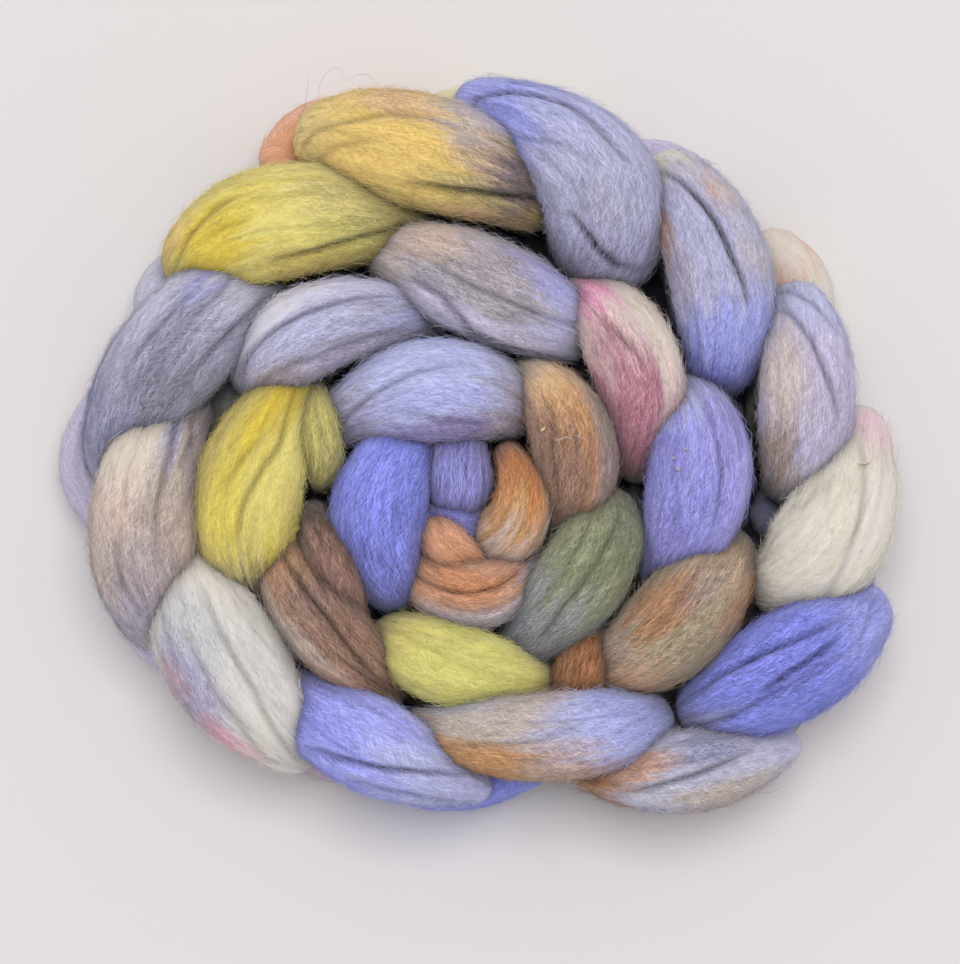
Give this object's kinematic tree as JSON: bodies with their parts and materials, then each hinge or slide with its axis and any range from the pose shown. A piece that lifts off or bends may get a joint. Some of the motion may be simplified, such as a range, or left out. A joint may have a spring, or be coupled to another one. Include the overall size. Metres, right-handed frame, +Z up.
{
  "type": "wool roving",
  "caption": "Hand-dyed combed wool top, finger-chained and coiled flat into a round hank that rests on a surface.",
  "frame": {"origin": "middle of the coil's outline, on the surface that the coil rests on", "axes": "+Z up through the coil's height, +X along its longest way across, +Y towards the far side as the coil is seen in use"},
  "size_m": [0.231, 0.2073, 0.0613],
  "materials": {
    "dyed_wool": "matt combed wool, hand-dyed in soft changing colours"
  },
  "bodies": {
    "root": {"roving": "dyed_wool"}
  },
  "joints": []
}
